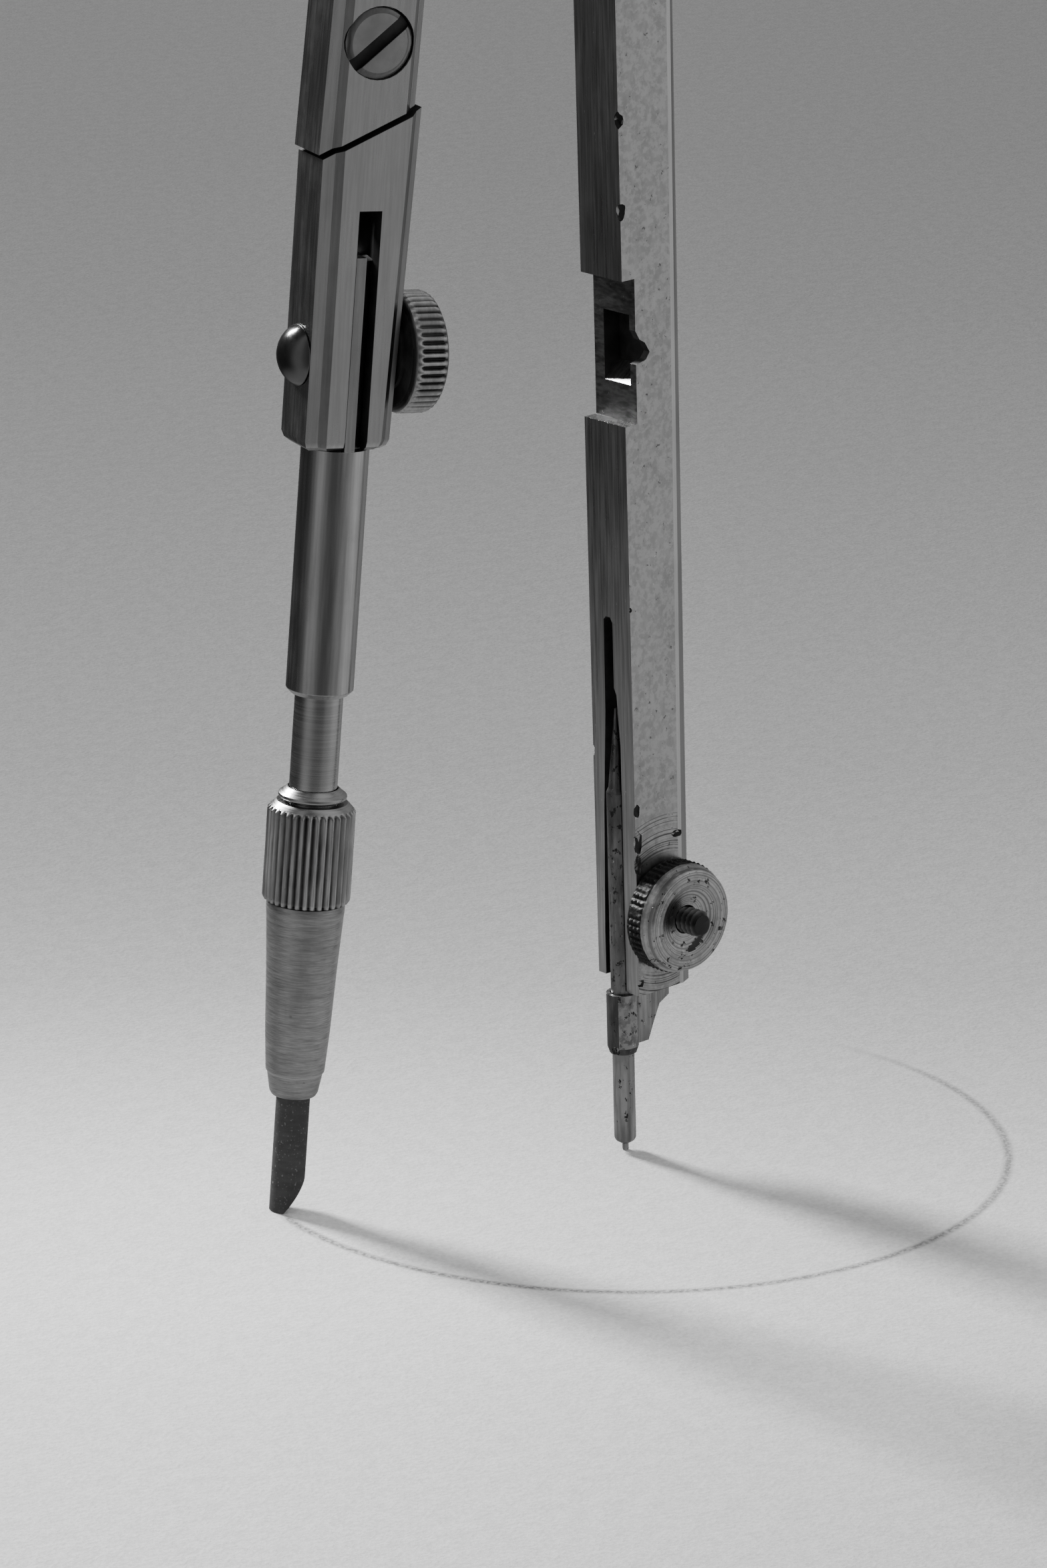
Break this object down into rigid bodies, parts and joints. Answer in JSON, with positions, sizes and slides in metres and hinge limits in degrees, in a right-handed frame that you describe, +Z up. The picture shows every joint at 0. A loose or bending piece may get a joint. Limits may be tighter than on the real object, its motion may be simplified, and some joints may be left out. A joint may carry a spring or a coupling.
{
  "type": "drawing compass",
  "caption": "Metal drawing compass with a geared head, a jointed lead leg with a clutch lead holder and a plain needle leg.",
  "frame": {"origin": "tip of the needle, on the paper", "axes": "+Z up from the paper, +X from the lead leg towards the needle leg, the fronts of the legs face -Y"},
  "size_m": [0.0284, 0.0079, 0.1666],
  "materials": {
    "nickel": "satin nickel plate",
    "worn_nickel": "worn nickel plate",
    "steel": "polished steel",
    "dark_steel": "dull steel",
    "bronze": "plain",
    "graphite": "matt graphite"
  },
  "bodies": {
    "head": {"head_front_plate": "nickel", "head_back_plate": "nickel", "handle_yoke": "nickel", "handle_grip": "nickel", "pivot_screw_lead": "steel", "pivot_screw_needle": "steel", "pivot_nut_lead": "steel", "pivot_nut_needle": "steel", "pivot_washer_lead_front": "bronze", "pivot_washer_lead_back": "bronze", "pivot_washer_needle_front": "bronze", "pivot_washer_needle_back": "bronze", "plate_screw_lead": "steel", "plate_screw_needle": "steel"},
    "lead_leg": {"lead_leg_head": "nickel", "lead_upper_leg": "nickel", "lead_leg_pin": "steel", "knee_screw": "steel", "knee_washer_front": "bronze", "knee_washer_back": "bronze"},
    "needle_leg": {"needle_leg_head": "nickel", "needle_leg_bar": "worn_nickel", "needle_leg_pin": "steel", "needle_holder": "worn_nickel", "needle_clamp_screw": "dark_steel"},
    "lead_socket": {"lead_socket_block": "nickel", "clamp_screw": "steel"},
    "socket_nut": {"clamp_nut": "nickel"},
    "lead_insert": {"insert_shank": "nickel", "collet": "steel", "stop_collar": "nickel", "nose_sleeve": "worn_nickel"},
    "clutch": {"clutch_sleeve": "worn_nickel"},
    "lead_stick": {"lead": "graphite"},
    "needle_nut": {"needle_clamp_nut": "worn_nickel"},
    "needle_point": {"needle": "steel"}
  },
  "joints": [
    {"name": "lead_leg_pivot", "type": "hinge", "parent": "head", "child": "lead_leg", "pos_m": [-0.0095, 0, 0.13068], "axis": [0, 1, 0], "range_deg": [-3.9, 45]},
    {"name": "needle_leg_pivot", "type": "hinge", "parent": "head", "child": "needle_leg", "pos_m": [-0.00201, 0, 0.13038], "axis": [0, 1, 0], "range_deg": [-45, 3.9]},
    {"name": "knee", "type": "hinge", "parent": "lead_leg", "child": "lead_socket", "pos_m": [-0.01634, 0, 0.06774], "axis": [0, -1, 0], "range_deg": [-2, 15]},
    {"name": "socket_nut_turn", "type": "hinge", "parent": "lead_socket", "child": "socket_nut", "pos_m": [-0.01395, 0, 0.04978], "axis": [0.9969, 0, -0.0785], "continuous": true},
    {"name": "insert_slide", "type": "slide", "parent": "lead_socket", "child": "lead_insert", "axis": [-0.0785, 0, -0.9969], "range_m": [0, 0.008]},
    {"name": "clutch_turn", "type": "hinge", "parent": "lead_insert", "child": "clutch", "pos_m": [-0.02019, 0, 0.02143], "axis": [0.0785, 0, 0.9969], "continuous": true},
    {"name": "lead_feed", "type": "slide", "parent": "lead_insert", "child": "lead_stick", "axis": [-0.0785, 0, -0.9969], "range_m": [-0.003, 0.005]},
    {"name": "needle_nut_turn", "type": "hinge", "parent": "needle_leg", "child": "needle_nut", "pos_m": [0.00213, -0.00221, 0.01487], "axis": [-0.2587, 0.9659, -0.0075], "continuous": true},
    {"name": "needle_slide", "type": "slide", "parent": "needle_leg", "child": "needle_point", "axis": [0.029, 0, -0.9996], "range_m": [-0.002, 0.004]}
  ],
  "couplings": [
    {"joint": "needle_leg_pivot", "follows": "lead_leg_pivot", "ratio": -1}
  ]
}
